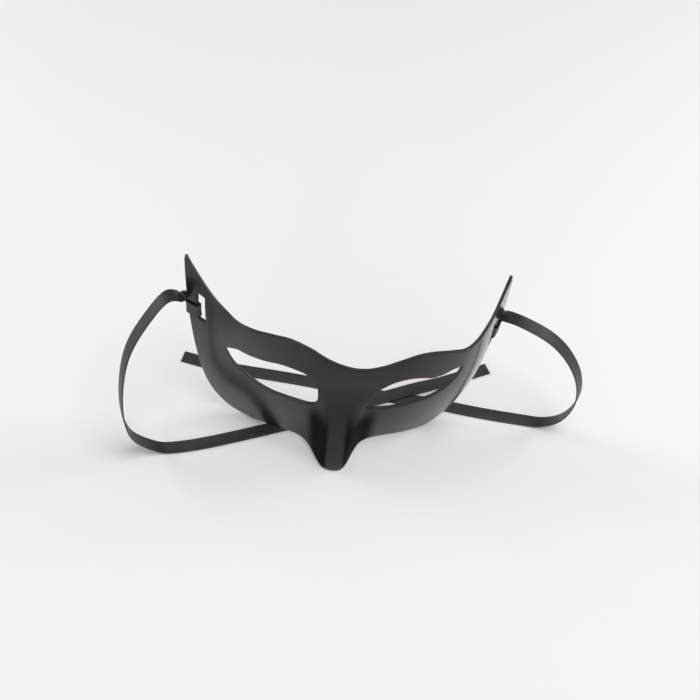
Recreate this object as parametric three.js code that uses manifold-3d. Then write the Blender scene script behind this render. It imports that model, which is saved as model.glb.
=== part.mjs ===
import * as THREE from 'three';
import Module from 'manifold-3d';

const wasm = await Module();
wasm.setup();

// driving sizes, millimetres
const wingReach = 94.1;      // midline to a wing tip, along the face
const shellHeight = 107.6;   // nose tip to wing tips, up the face
const wall = 1.6;            // moulded shell
const noseReach = 18.6;      // how far the nose stands off the face
const ribbonWidth = 7.0;
const ribbonThick = 1.0;
const slotWide = 4.8;
const slotTall = 15.0;
const slotInset = 8.6;       // slot centre in from the rim
const slotLean = 0.2;        // slot follows the slope of the rim
const gap = 0.3;             // loose parts
const knotReach = 3.6;       // knot centre to the start of its ribbon
const spread = 100.0;        // unit of the ribbon tables
const lie = 0.04;            // a lying ribbon clears the surface by this much
const wrapDown = 0.27;       // the wrap sits this share of slotTall below the slot's middle
const wrapRound = 0.9;       // corner of the ribbon's turn round the rim
const wallSlack = 0.1;       // the wrap is looser than the gap across the wall
const knotOut = 2.2;         // knot centre beyond the wrap
const knotBack = 0.3;
const knotUp = 0.55;         // share of ribbonWidth
const knotHalf = [2.4, 2.3, 3.6];

// the face surface
// out: share of wingReach, turn: degrees the face has turned back
const headingRows = [
  { out: 0.0, turn: 0.0 },
  { out: 0.213, turn: 7.8 },
  { out: 0.425, turn: 20.9 },
  { out: 0.638, turn: 27.3 },
  { out: 0.85, turn: 53.7 },
  { out: 1.063, turn: 53.0 },
  { out: 1.28, turn: 52.8 },
];
// the left wing is bent open, the right one bent back and flared
const sideRows = [
  { side: -1, splay: -19.8, flare: 0.0, strapUp: 0.776 },
  { side: 1, splay: 18.3, flare: 0.173, strapUp: 0.716 },
];
// up: share of shellHeight, reach: share of noseReach, left and right: shares of noseHalf,
// crisp: how sharply the ridge turns into its flanks
const noseRows = [
  { up: -0.2, reach: 1.06, left: 1.21, right: 0.8, crisp: 3.4 },
  { up: 0.0, reach: 1.0, left: 1.21, right: 0.8, crisp: 3.4 },
  { up: 0.112, reach: 0.83, left: 1.05, right: 0.8, crisp: 4.0 },
  { up: 0.223, reach: 0.6, left: 0.92, right: 0.82, crisp: 4.6 },
  { up: 0.335, reach: 0.35, left: 0.88, right: 0.88, crisp: 5.0 },
  { up: 0.4, reach: 0.2, left: 1.0, right: 1.0, crisp: 4.6 },
  { up: 0.446, reach: 0.11, left: 1.3, right: 1.3, crisp: 4.0 },
  { up: 0.558, reach: 0.0, left: 1.9, right: 1.9, crisp: 4.0 },
  { up: 1.1, reach: 0.0, left: 1.9, right: 1.9, crisp: 4.0 },
];
const bulge = 0.0043;        // upright curvature, 1/mm
const bulgeUp = 23.6;
const noseLean = 0.061;      // sideways lean of the nose
const noseHalf = 9.4;        // half width of the nose
const noseAside = 1.6;       // the nose tip sits this far to the right
const noseFoot = 45.0;       // height over which it moves there
const leanUp = 60.0;         // height without any lean
const leanHalf = 28.0;       // distance out over which the lean fades
const splayFrom = 35.0;      // where a wing starts to bend away
const splayOver = 45.0;      // distance over which it bends
const flareUp = 35.0;        // height without any flare
const flareFrom = 15.0;
const flareOver = 65.0;
const flareMost = 1.3;

// outlines: out = share of wingReach, left below zero, up = share of shellHeight
const upperRows = [
  { out: -1.0, up: 1.0 },
  { out: -0.84, up: 0.905 },
  { out: -0.7, up: 0.845 },
  { out: -0.61, up: 0.79 },
  { out: -0.525, up: 0.78 },
  { out: -0.43, up: 0.797 },
  { out: -0.33, up: 0.81 },
  { out: -0.22, up: 0.785 },
  { out: -0.12, up: 0.735 },
  { out: -0.02, up: 0.7 },
  { out: 0.07, up: 0.69 },
  { out: 0.16, up: 0.708 },
  { out: 0.26, up: 0.757 },
  { out: 0.36, up: 0.797 },
  { out: 0.45, up: 0.805 },
  { out: 0.55, up: 0.787 },
  { out: 0.63, up: 0.768 },
  { out: 0.7, up: 0.8 },
  { out: 0.76, up: 0.843 },
  { out: 0.87, up: 0.895 },
  { out: 1.0, up: 0.985 },
];
const lowerRows = [
  { out: -1.0, up: 1.0 },
  { out: -0.94, up: 0.79 },
  { out: -0.885, up: 0.6 },
  { out: -0.84, up: 0.44 },
  { out: -0.775, up: 0.23 },
  { out: -0.71, up: 0.105 },
  { out: -0.64, up: 0.015 },
  { out: -0.57, up: -0.025 },
  { out: -0.5, up: -0.035 },
  { out: -0.42, up: -0.015 },
  { out: -0.33, up: 0.005 },
  { out: -0.25, up: 0.02 },
  { out: -0.12, up: 0.01 },
  { out: 0.02, up: 0.0 },
  { out: 0.06, up: 0.01 },
  { out: 0.1, up: 0.035 },
  { out: 0.17, up: 0.045 },
  { out: 0.26, up: 0.04 },
  { out: 0.35, up: 0.025 },
  { out: 0.43, up: 0.0 },
  { out: 0.49, up: -0.025 },
  { out: 0.54, up: -0.035 },
  { out: 0.6, up: -0.025 },
  { out: 0.65, up: 0.01 },
  { out: 0.71, up: 0.08 },
  { out: 0.77, up: 0.18 },
  { out: 0.835, up: 0.355 },
  { out: 0.89, up: 0.57 },
  { out: 0.945, up: 0.78 },
  { out: 1.0, up: 0.985 },
];
// from the outer corner in for the left eye, from the inner corner out for the right one
const leftEyeUpperRows = [
  { out: -0.67, up: 0.6 },
  { out: -0.61, up: 0.615 },
  { out: -0.55, up: 0.605 },
  { out: -0.49, up: 0.605 },
  { out: -0.43, up: 0.615 },
  { out: -0.37, up: 0.63 },
  { out: -0.3, up: 0.63 },
  { out: -0.21, up: 0.605 },
  { out: -0.15, up: 0.525 },
  { out: -0.135, up: 0.44 },
];
const leftEyeLowerRows = [
  { out: -0.67, up: 0.6 },
  { out: -0.62, up: 0.51 },
  { out: -0.56, up: 0.455 },
  { out: -0.47, up: 0.405 },
  { out: -0.4, up: 0.39 },
  { out: -0.32, up: 0.39 },
  { out: -0.24, up: 0.385 },
  { out: -0.18, up: 0.38 },
  { out: -0.145, up: 0.4 },
  { out: -0.135, up: 0.44 },
];
const rightEyeUpperRows = [
  { out: 0.115, up: 0.41 },
  { out: 0.135, up: 0.47 },
  { out: 0.16, up: 0.52 },
  { out: 0.2, up: 0.57 },
  { out: 0.25, up: 0.61 },
  { out: 0.32, up: 0.635 },
  { out: 0.39, up: 0.635 },
  { out: 0.45, up: 0.62 },
  { out: 0.51, up: 0.62 },
  { out: 0.56, up: 0.64 },
  { out: 0.62, up: 0.64 },
];
const rightEyeLowerRows = [
  { out: 0.115, up: 0.41 },
  { out: 0.15, up: 0.39 },
  { out: 0.23, up: 0.39 },
  { out: 0.31, up: 0.405 },
  { out: 0.38, up: 0.42 },
  { out: 0.45, up: 0.435 },
  { out: 0.5, up: 0.46 },
  { out: 0.555, up: 0.51 },
  { out: 0.59, up: 0.56 },
  { out: 0.62, up: 0.64 },
];

// ribbon runs, shares of spread, on the resting surface
const ribbonRuns = [
  {
    name: 'left',
    across: [-0.38, 0.92, 0],
    rows: [
      { x: -0.876, y: 0.165, z: 0.955 },
      { x: -0.96, y: 0.095, z: 0.868 },
      { x: -1.045, y: -0.006, z: 0.753 },
      { x: -1.08, y: -0.09, z: 0.61 },
      { x: -1.09, y: -0.153, z: 0.435 },
      { x: -1.074, y: -0.177, z: 0.279 },
      { x: -1.042, y: -0.168, z: 0.165 },
      { x: -0.968, y: -0.14, z: 0.055 },
      { x: -0.893, y: -0.123, z: 0.006 },
      { x: -0.735, y: -0.085, z: 0.005 },
      { x: -0.5, y: -0.004, z: 0.005 },
      { x: -0.3, y: 0.07, z: 0.005 },
      { x: -0.063, y: 0.166, z: 0.005 },
      { x: 0.03, y: 0.205, z: 0.006 },
      { x: 0.155, y: 0.258, z: 0.0188 },
      { x: 0.28, y: 0.31, z: 0.0188 },
      { x: 0.41, y: 0.365, z: 0.0188 },
      { x: 0.53, y: 0.414, z: 0.006 },
      { x: 0.66, y: 0.471, z: 0.005 },
      { x: 0.806, y: 0.536, z: 0.005 },
    ],
  },
  {
    name: 'right',
    across: [0.42, 0.9, 0],
    rows: [
      { x: 0.8, y: 0.252, z: 0.868 },
      { x: 0.866, y: 0.225, z: 0.862 },
      { x: 0.965, y: 0.196, z: 0.826 },
      { x: 1.057, y: 0.173, z: 0.747 },
      { x: 1.136, y: 0.156, z: 0.626 },
      { x: 1.184, y: 0.146, z: 0.499 },
      { x: 1.205, y: 0.145, z: 0.352 },
      { x: 1.189, y: 0.157, z: 0.205 },
      { x: 1.151, y: 0.177, z: 0.095 },
      { x: 1.085, y: 0.203, z: 0.022 },
      { x: 1.01, y: 0.215, z: 0.005 },
      { x: 0.745, y: 0.241, z: 0.005 },
      { x: 0.45, y: 0.287, z: 0.005 },
      { x: 0.2, y: 0.302, z: 0.005 },
      { x: -0.1, y: 0.349, z: 0.005 },
      { x: -0.4, y: 0.384, z: 0.005 },
      { x: -0.65, y: 0.408, z: 0.005 },
      { x: -0.895, y: 0.461, z: 0.005 },
    ],
  },
];

// curve helpers
function smoothTable(rows, key, value) {
  const x = rows.map((r) => r[key]);
  const y = rows.map((r) => r[value]);
  const n = x.length;
  const h = x.slice(1).map((v, i) => v - x[i]);
  const d = h.map((v, i) => (y[i + 1] - y[i]) / v);
  const m = x.map((v, i) => {
    if (i === 0) return d[0];
    if (i === n - 1) return d[n - 2];
    if (d[i - 1] * d[i] <= 0) return 0;
    const a = 2 * h[i] + h[i - 1];
    const b = h[i] + 2 * h[i - 1];
    return (a + b) / (a / d[i - 1] + b / d[i]);
  });
  return (q) => {
    const v = Math.min(Math.max(q, x[0]), x[n - 1]);
    let i = 0;
    while (i < n - 2 && v > x[i + 1]) i += 1;
    const t = (v - x[i]) / h[i];
    const t2 = t * t;
    const t3 = t2 * t;
    return (2 * t3 - 3 * t2 + 1) * y[i] + (t3 - 2 * t2 + t) * h[i] * m[i]
      + (3 * t2 - 2 * t3) * y[i + 1] + (t3 - t2) * h[i] * m[i + 1];
  };
}

function throughPoints(points, steps) {
  const n = points.length;
  const mirrorEnd = (a, b) => a.map((v, k) => 2 * v - b[k]);
  const all = [mirrorEnd(points[0], points[1]), ...points, mirrorEnd(points[n - 1], points[n - 2])];
  const out = [];
  for (let i = 1; i < n; i += 1) {
    const [a, b, c, d] = [all[i - 1], all[i], all[i + 1], all[i + 2]];
    for (let j = 0; j < steps; j += 1) {
      const t = j / steps;
      out.push(b.map((v, k) => 0.5 * (2 * v + (c[k] - a[k]) * t
        + (2 * a[k] - 5 * v + 4 * c[k] - d[k]) * t * t
        + (3 * v - a[k] - 3 * c[k] + d[k]) * t * t * t)));
    }
  }
  out.push(points[n - 1]);
  return out;
}

const outlineSteps = 10;     // between two rows of an outline

// height up the face of an outline, read at a signed distance out along it
function heightAt(rows) {
  const line = throughPoints(rows.map((r) => [r.out * wingReach, r.up * shellHeight]), outlineSteps);
  return (a) => {
    if (a <= line[0][0]) return line[0][1];
    for (let i = 1; i < line.length; i += 1) {
      if (a <= line[i][0]) {
        const run = line[i][0] - line[i - 1][0];
        const t = run > 1e-6 ? (a - line[i - 1][0]) / run : 1;
        return line[i - 1][1] + (line[i][1] - line[i - 1][1]) * t;
      }
    }
    return line[line.length - 1][1];
  };
}

const topAt = heightAt(upperRows);
const bottomAt = heightAt(lowerRows);
// corners: signed distances out of the outer and inner corner
const eyes = new Map([[-1, leftEyeUpperRows, leftEyeLowerRows], [1, rightEyeUpperRows, rightEyeLowerRows]]
  .map(([side, upper, lower]) => {
    const ends = [upper[0].out * wingReach, upper[upper.length - 1].out * wingReach];
    const [outer, inner] = side < 0 ? ends : [ends[1], ends[0]];
    return [side, { outer, inner, topAt: heightAt(upper), bottomAt: heightAt(lower) }];
  }));

// the face surface as a function of distance out (signed) and height
const turnAt = smoothTable(headingRows, 'out', 'turn');
const noseReachAt = smoothTable(noseRows, 'up', 'reach');
const noseLeftAt = smoothTable(noseRows, 'up', 'left');
const noseRightAt = smoothTable(noseRows, 'up', 'right');
const noseCrispAt = smoothTable(noseRows, 'up', 'crisp');
const stepLength = 0.5;
const sectionReach = 130.0;  // the plan section runs on beyond the wing tips
const smooth = (t) => {
  const c = Math.min(Math.max(t, 0), 1);
  return c * c * (3 - 2 * c);
};

const sections = new Map(sideRows.map((row) => {
  const list = [];
  let x = 0;
  let y = 0;
  let last = 0;
  for (let s = 0; s <= sectionReach; s += stepLength) {
    const bend = turnAt(s / wingReach) + row.splay * smooth((s - splayFrom) / splayOver);
    const turn = THREE.MathUtils.degToRad(bend);
    if (s > 0) {
      x += 0.5 * (Math.cos(turn) + Math.cos(last)) * stepLength;
      y += 0.5 * (Math.sin(turn) + Math.sin(last)) * stepLength;
    }
    list.push([x, y, turn]);
    last = turn;
  }
  return [row.side, list];
}));

function facePoint(a, z) {
  const side = a < 0 ? -1 : 1;
  const s = Math.abs(a);
  const row = sideRows.find((r) => r.side === side);
  const list = sections.get(side);
  const i = Math.min(Math.floor(s / stepLength), list.length - 2);
  const t = s / stepLength - i;
  const [x, y, turn] = list[i].map((v, k) => v + (list[i + 1][k] - v) * t);
  const up = z / shellHeight;
  const aside = a - noseAside * smooth((noseFoot - z) / noseFoot);
  const half = noseHalf * (aside < 0 ? noseLeftAt(up) : noseRightAt(up));
  const nose = noseReach * noseReachAt(up) / (1 + (Math.abs(aside) / half) ** noseCrispAt(up));
  const flareShare = Math.min(Math.max((s - flareFrom) / flareOver, 0), flareMost);
  const off = nose + row.flare * flareShare * (z - flareUp) - bulge * (z - bulgeUp) ** 2 / 2;
  const lean = noseLean * (z - leanUp) * Math.exp(-((s / leanHalf) ** 2));
  return new THREE.Vector3(side * (x + Math.sin(turn) * off) + lean, y - Math.cos(turn) * off, z);
}

const frameStep = 0.2;

function faceFrame(a, z) {
  const out = facePoint(a + frameStep, z).sub(facePoint(a - frameStep, z)).normalize();
  const up = facePoint(a, z + frameStep).sub(facePoint(a, z - frameStep)).normalize();
  const normal = new THREE.Vector3().crossVectors(out, up).normalize();
  return { at: facePoint(a, z), out, up, normal };
}

// solids from faces, merged by place
function solidFrom(triangles) {
  const index = new Map();
  const spots = [];
  const idOf = (p) => {
    const key = `${p.x.toFixed(4)} ${p.y.toFixed(4)} ${p.z.toFixed(4)}`;
    if (!index.has(key)) {
      index.set(key, spots.length);
      spots.push(p);
    }
    return index.get(key);
  };
  const faces = [];
  for (const tri of triangles) {
    const [a, b, c] = tri.map(idOf);
    if (a !== b && b !== c && a !== c) faces.push([a, b, c]);
  }
  const vertProperties = new Float32Array(spots.length * 3);
  spots.forEach((p, i) => vertProperties.set([p.x, p.y, p.z], i * 3));
  return new wasm.Manifold(new wasm.Mesh({
    numProp: 3, vertProperties, triVerts: new Uint32Array(faces.flat()),
  }));
}

const quad = (a, b, c, d) => [[a, b, c], [a, c, d]];

// a closed sweep of one section along a run of rings
function sweep(rings, closed) {
  const tris = [];
  const n = rings[0].length;
  const last = closed ? rings.length : rings.length - 1;
  for (let i = 0; i < last; i += 1) {
    const here = rings[i];
    const next = rings[(i + 1) % rings.length];
    for (let k = 0; k < n; k += 1) {
      const l = (k + 1) % n;
      tris.push(...quad(here[k], here[l], next[l], next[k]));
    }
  }
  if (!closed) {
    const end = rings[rings.length - 1];
    for (let k = 1; k < n - 1; k += 1) {
      tris.push([rings[0][0], rings[0][k + 1], rings[0][k]]);
      tris.push([end[0], end[k], end[k + 1]]);
    }
  }
  const solid = solidFrom(tris);
  return solid.volume() < 0 ? solidFrom(tris.map(([a, b, c]) => [a, c, b])) : solid;
}

// the moulded shell
const tipEnd = 0.996 * wingReach;
const columnCounts = { bridge: 14, eye: 20, wing: 16 };
const rowCount = 7;          // of each band
const cutDepth = 6.0;        // the slot cutter reaches this far to each side of the face

// signed distances out of the columns, left tip to right tip
function columns() {
  const list = [];
  const add = (from, to, count, crowd) => {
    for (let i = 0; i < count; i += 1) {
      const t = crowd ? 0.5 - 0.5 * Math.cos(Math.PI * i / count) : i / count;
      list.push(from + (to - from) * t);
    }
  };
  const [left, right] = [eyes.get(-1), eyes.get(1)];
  add(-tipEnd, left.outer, columnCounts.wing, false);
  add(left.outer, left.inner, columnCounts.eye, true);
  add(left.inner, right.inner, columnCounts.bridge, false);
  add(right.inner, right.outer, columnCounts.eye, true);
  add(right.outer, tipEnd, columnCounts.wing, false);
  list.push(tipEnd);
  return list;
}

const seamShare = (a, eye) => (eye.bottomAt(a) - bottomAt(a)) / (topAt(a) - bottomAt(a));

// lower and upper band of a column, apart only at an eye
function bandsAt(a) {
  const side = a < 0 ? -1 : 1;
  const eye = eyes.get(side);
  const s = Math.abs(a);
  const [bottom, top] = [bottomAt(a), topAt(a)];
  const [near, far] = [Math.abs(eye.inner), Math.abs(eye.outer)];
  if (s > near + 1e-6 && s < far - 1e-6) return [bottom, eye.bottomAt(a), eye.topAt(a), top];
  let share = seamShare(eye.outer, eye);
  if (s > far + 1e-6) {
    share += (0.5 - share) * smooth((s - far) / (wingReach - far));
  } else if (s <= near + 1e-6) {
    const [left, right] = [eyes.get(-1), eyes.get(1)];
    const t = (a - left.inner) / (right.inner - left.inner);
    share = seamShare(left.inner, left) * (1 - t) + seamShare(right.inner, right) * t;
  }
  const mid = bottom + (top - bottom) * share;
  return [bottom, mid, mid, top];
}

function shellSolid() {
  const grid = columns().map((a) => {
    const [b0, b1, t0, t1] = bandsAt(a);
    const band = (lo, hi) => Array.from({ length: rowCount + 1 }, (_, j) => {
      const z = lo + (hi - lo) * j / rowCount;
      const f = faceFrame(a, z);
      return {
        front: f.at.clone().addScaledVector(f.normal, wall / 2),
        back: f.at.clone().addScaledVector(f.normal, -wall / 2),
      };
    });
    return [band(b0, b1), band(t0, t1)];
  });
  const tris = [];
  const edges = new Map();
  const name = (p) => `${p.front.x.toFixed(4)} ${p.front.y.toFixed(4)} ${p.front.z.toFixed(4)}`;
  const addFace = (a, b, c) => {
    const names = [a, b, c].map(name);
    if (new Set(names).size < 3) return;
    tris.push([a.front, b.front, c.front], [a.back, c.back, b.back]);
    [[a, b], [b, c], [c, a]].forEach(([p, q]) => {
      const back = `${name(q)}|${name(p)}`;
      if (edges.has(back)) edges.delete(back);
      else edges.set(`${name(p)}|${name(q)}`, [p, q]);
    });
  };
  for (let i = 0; i < grid.length - 1; i += 1) {
    for (let k = 0; k < 2; k += 1) {
      for (let j = 0; j < rowCount; j += 1) {
        const [a, b] = [grid[i][k][j], grid[i + 1][k][j]];
        const [c, d] = [grid[i + 1][k][j + 1], grid[i][k][j + 1]];
        addFace(a, b, c);
        addFace(a, c, d);
      }
    }
  }
  for (const [p, q] of edges.values()) tris.push(...quad(q.front, p.front, p.back, q.back));
  return solidFrom(tris);
}

const rimFrom = 0.7;         // share of wingReach, further out than the lower edge's feet
const halvings = 40;

// rim distance out at a height, found along the lower outline
function rimOut(side, up) {
  let lo = rimFrom * wingReach;
  let hi = wingReach;
  for (let i = 0; i < halvings; i += 1) {
    const mid = (lo + hi) / 2;
    if (bottomAt(side * mid) < up) {
      lo = mid;
    } else {
      hi = mid;
    }
  }
  return (lo + hi) / 2;
}

function slotPlace(row) {
  const up = row.strapUp * shellHeight;
  return { out: rimOut(row.side, up) - slotInset, up };
}

function slotCutter(row) {
  const place = slotPlace(row);
  const f = faceFrame(row.side * place.out, place.up);
  const ring = (depth) => [[-1, -1], [1, -1], [1, 1], [-1, 1]].map(([h, v]) => {
    const z = place.up + v * slotTall / 2;
    const s = place.out + h * slotWide / 2 + v * slotTall / 2 * slotLean;
    return facePoint(row.side * s, z).addScaledVector(f.normal, depth);
  });
  return sweep([ring(-cutDepth), ring(cutDepth)], false);
}

// the ribbon's turn round the rim bar, with its knot
const barStep = 3.0;         // the rim bar's direction is read this far above and below
const cornerSteps = 3;
const knotSides = 20;

function knotSolid(row) {
  const place = slotPlace(row);
  const up = place.up - wrapDown * slotTall;
  const lean = (up - place.up) * slotLean;
  const inner = place.out + slotWide / 2 + lean;
  const outer = rimOut(row.side, up);
  const mid = (inner + outer) / 2;
  const f = faceFrame(row.side * mid, up);
  const above = facePoint(row.side * (mid + barStep * slotLean), up + barStep);
  const below = facePoint(row.side * (mid - barStep * slotLean), up - barStep);
  const along = above.sub(below).normalize();
  const out = new THREE.Vector3().crossVectors(along, f.normal).normalize();
  if (out.dot(f.out) * row.side < 0) out.negate();
  const halfBar = (outer - inner) / 2 + gap + ribbonThick / 2;
  const halfWall = wall / 2 + gap + wallSlack + ribbonThick / 2;
  const path = [];
  [[1, 1, 0], [-1, 1, 90], [-1, -1, 180], [1, -1, 270]].forEach(([u, v, start]) => {
    for (let k = 0; k <= cornerSteps; k += 1) {
      const t = THREE.MathUtils.degToRad(start + 90 * k / cornerSteps);
      path.push([
        u * (halfBar - wrapRound) + wrapRound * Math.cos(t),
        v * (halfWall - wrapRound) + wrapRound * Math.sin(t),
      ]);
    }
  });
  const rings = path.map(([u, v], i) => {
    const [a, b] = [path[(i + path.length - 1) % path.length], path[(i + 1) % path.length]];
    const run = new THREE.Vector2(b[0] - a[0], b[1] - a[1]).normalize();
    const side = [run.y, -run.x];
    return [[-1, -1], [1, -1], [1, 1], [-1, 1]].map(([w, h]) => f.at.clone()
      .addScaledVector(out, u + side[0] * h * ribbonThick / 2)
      .addScaledVector(f.normal, v + side[1] * h * ribbonThick / 2)
      .addScaledVector(along, w * ribbonWidth / 2));
  });
  const band = sweep(rings, true);
  const centre = f.at.clone().addScaledVector(out, halfBar + knotOut)
    .addScaledVector(f.normal, -knotBack).addScaledVector(along, ribbonWidth * knotUp);
  const lump = wasm.Manifold.sphere(1, knotSides).scale(knotHalf)
    .transform([
      out.x, out.y, out.z, 0, f.normal.x, f.normal.y, f.normal.z, 0,
      along.x, along.y, along.z, 0, centre.x, centre.y, centre.z, 1,
    ]);
  const fixed = lump.volume() > 0 ? lump : lump.mirror([0, 0, 0]);
  return { solid: band.add(fixed), centre, out };
}

// a flat ribbon along its run
const ribbonSteps = 4;       // between two points of a run
const flatShare = 0.93;      // of the ribbon's width, the rest is its rounded edges

function ribbonSolid(run, knot) {
  const rows = run.rows.map((r) => new THREE.Vector3(r.x, r.y, r.z).multiplyScalar(spread));
  const away = rows[0].clone().sub(knot).normalize();
  rows.unshift(knot.clone().addScaledVector(away, knotReach));
  const line = throughPoints(rows.map((p) => p.toArray()), ribbonSteps)
    .map(([x, y, z]) => new THREE.Vector3(x, y, Math.max(z, ribbonThick / 2 + lie)));
  const across = new THREE.Vector3(...run.across);
  const section = [
    [-1, 0], [-flatShare, -1], [flatShare, -1], [1, 0], [flatShare, 1], [-flatShare, 1],
  ];
  const rings = line.map((p, i) => {
    const tangent = line[Math.min(i + 1, line.length - 1)].clone()
      .sub(line[Math.max(i - 1, 0)]).normalize();
    const wide = across.clone().addScaledVector(tangent, -across.dot(tangent)).normalize();
    const thick = new THREE.Vector3().crossVectors(tangent, wide);
    return section.map(([w, h]) => p.clone()
      .addScaledVector(wide, w * ribbonWidth / 2)
      .addScaledVector(thick, h * ribbonThick / 2));
  });
  return sweep(rings, false);
}

// stand the shell on its nose tip and both lower edges
const footAside = 25.0;      // a lower edge's foot lies further out than this
const tipAside = 20.0;       // the nose tip lies nearer the midline than this
const settleTurns = 12;

function pointsOf(solid) {
  const mesh = solid.getMesh();
  const list = [];
  for (let i = 0; i < mesh.vertProperties.length; i += mesh.numProp) {
    list.push(new THREE.Vector3(...mesh.vertProperties.slice(i, i + 3)));
  }
  return list;
}

function settle(points) {
  const zones = [(p) => p.x < -footAside, (p) => p.x > footAside, (p) => Math.abs(p.x) < tipAside];
  const up = new THREE.Vector3(0, 0, 1);
  let feet = [];
  for (let k = 0; k < settleTurns; k += 1) {
    feet = zones.map((zone) => points.filter(zone)
      .reduce((low, p) => (p.dot(up) < low.dot(up) ? p : low)));
    const [left, right, nose] = feet;
    up.crossVectors(right.clone().sub(nose), left.clone().sub(nose)).normalize();
    if (up.z < 0) up.negate();
  }
  const x = new THREE.Vector3(1, 0, 0).addScaledVector(up, -up.x).normalize();
  const y = new THREE.Vector3().crossVectors(up, x);
  const turn = new THREE.Matrix4().makeBasis(x, y, up).transpose();
  return new THREE.Matrix4().makeTranslation(0, 0, -feet[2].dot(up)).multiply(turn);
}

const place = (solid, matrix) => solid.transform([...matrix.elements]);

let shell = shellSolid();
for (const row of sideRows) shell = shell.subtract(slotCutter(row));
const stand = settle(pointsOf(shell));
shell = place(shell, stand);
const box = shell.boundingBox();
const centring = new THREE.Matrix4().makeTranslation(
  -(box.min[0] + box.max[0]) / 2, -(box.min[1] + box.max[1]) / 2, -box.min[2],
);
shell = place(shell, centring);
const whole = centring.clone().multiply(stand);

// materials and meshes
function paint(name, color, roughness) {
  const material = new THREE.MeshStandardMaterial({ color, roughness, metalness: 0 });
  material.name = name;
  return material;
}

function meshOf(name, solid, material) {
  const raw = solid.getMesh();
  const geometry = new THREE.BufferGeometry();
  const count = raw.vertProperties.length / raw.numProp;
  const spots = new Float32Array(count * 3);
  for (let i = 0; i < count; i += 1) {
    for (let k = 0; k < 3; k += 1) spots[i * 3 + k] = raw.vertProperties[i * raw.numProp + k];
  }
  geometry.setAttribute('position', new THREE.BufferAttribute(spots, 3));
  geometry.setIndex(new THREE.BufferAttribute(new Uint32Array(raw.triVerts), 1));
  geometry.computeVertexNormals();
  const mesh = new THREE.Mesh(geometry, material);
  mesh.name = name;
  return mesh;
}

const group = new THREE.Group();
group.name = 'masquerade_mask';
const shellBlack = paint('shell_black', 0x26272b, 0.42);
const ribbonBlack = paint('ribbon_black', 0x1c1d21, 0.75);

group.add(meshOf('mask_shell', shell, shellBlack));
for (const row of sideRows) {
  const side = row.side < 0 ? 'left' : 'right';
  const knot = knotSolid(row);
  group.add(meshOf(`${side}_ribbon_knot`, place(knot.solid, whole), ribbonBlack));
  const run = ribbonRuns.find((r) => r.name === side);
  const start = knot.centre.clone().applyMatrix4(stand);
  group.add(meshOf(`${side}_ribbon`, place(ribbonSolid(run, start), centring), ribbonBlack));
}

export default group;
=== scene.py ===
import bpy
import bmesh
import math
from mathutils import Matrix, Vector


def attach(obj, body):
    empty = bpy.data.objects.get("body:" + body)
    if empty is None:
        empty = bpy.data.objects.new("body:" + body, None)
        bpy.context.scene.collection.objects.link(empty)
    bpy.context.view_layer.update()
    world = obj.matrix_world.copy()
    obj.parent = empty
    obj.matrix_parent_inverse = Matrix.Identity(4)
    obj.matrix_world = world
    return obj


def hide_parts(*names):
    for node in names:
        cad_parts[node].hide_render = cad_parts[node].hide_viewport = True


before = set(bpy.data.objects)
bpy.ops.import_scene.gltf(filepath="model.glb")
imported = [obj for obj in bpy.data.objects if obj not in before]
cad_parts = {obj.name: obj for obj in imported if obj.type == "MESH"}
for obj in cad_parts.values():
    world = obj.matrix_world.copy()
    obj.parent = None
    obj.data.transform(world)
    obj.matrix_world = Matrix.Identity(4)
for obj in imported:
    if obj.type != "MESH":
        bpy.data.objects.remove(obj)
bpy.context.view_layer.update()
mm = 0.001
print("frame loaded")

# the photograph's view
photoCamera = {
    "place": (-0.0095, -0.29835, 0.51148),
    "right": (0.9967, 0.0505, 0.0642),
    "up": (-0.0779, 0.8232, 0.5624),
    "look": (0.0244, 0.5655, -0.8244),
    "lens": 56.57,
    "sensor": 36.0,
    "clip": (0.01, 20.0),
}


def makeCamera():
    data = bpy.data.cameras.new("photoCamera")
    data.lens = photoCamera["lens"]
    data.sensor_width = photoCamera["sensor"]
    data.clip_start, data.clip_end = photoCamera["clip"]
    camera = bpy.data.objects.new("photoCamera", data)
    bpy.context.scene.collection.objects.link(camera)
    back = [-v for v in photoCamera["look"]]
    turn = Matrix((photoCamera["right"], photoCamera["up"], back)).transposed()
    camera.matrix_world = Matrix.Translation(photoCamera["place"]) @ turn.to_4x4()
    bpy.context.scene.camera = camera


makeCamera()
print("camera placed")


# shader helpers

class Wire:
    def __init__(self, board, socket):
        self.board = board
        self.socket = socket

    def sum(self, operation, first, second):
        return self.board.node("ShaderNodeMath", {"operation": operation}, {0: first, 1: second})

    def __add__(self, other):
        return self.sum("ADD", self, other)

    def __sub__(self, other):
        return self.sum("SUBTRACT", self, other)

    def __mul__(self, other):
        return self.sum("MULTIPLY", self, other)

    def __gt__(self, other):
        return self.sum("GREATER_THAN", self, other)

    def __abs__(self):
        return self.sum("ABSOLUTE", self, 0.0)

    __radd__ = __add__


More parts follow.
